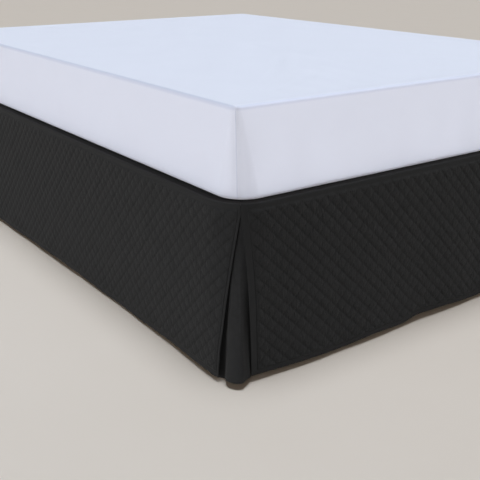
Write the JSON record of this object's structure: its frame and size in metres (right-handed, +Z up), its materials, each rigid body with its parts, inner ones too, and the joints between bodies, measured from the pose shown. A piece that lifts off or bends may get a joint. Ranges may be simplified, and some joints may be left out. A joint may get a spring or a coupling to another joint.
{
  "type": "quilted bed skirt on a box bed with its mattress",
  "caption": "Black quilted bed skirt with open pleats at the foot corners, hung from a deck cloth between a plain box base and its white mattress.",
  "frame": {"origin": "on the floor, under the middle of the bed with its skirt", "axes": "+Z up, +Y from the foot of the bed to its head, +X to the right seen from the foot"},
  "size_m": [1.4324, 1.9134, 0.6161],
  "materials": {
    "mattress_cover": "smooth white knit, matte",
    "quilted_black_cloth": "black microfibre quilted in diamonds, matte",
    "plain_black_cloth": "plain black microfibre, matte",
    "base_cover": "dark brown upholstery cloth, matte",
    "foot_plastic": "black moulded plastic"
  },
  "bodies": {
    "root": {"mattress": "mattress_cover", "bed_base": "base_cover", "deck_cloth": "plain_black_cloth", "skirt_left": "quilted_black_cloth", "skirt_right": "quilted_black_cloth", "skirt_foot": "quilted_black_cloth", "insert_left": "plain_black_cloth", "insert_right": "plain_black_cloth", "bed_foot_1": "foot_plastic", "bed_foot_2": "foot_plastic", "bed_foot_3": "foot_plastic", "bed_foot_4": "foot_plastic", "bed_foot_5": "foot_plastic", "bed_foot_6": "foot_plastic"}
  },
  "joints": []
}
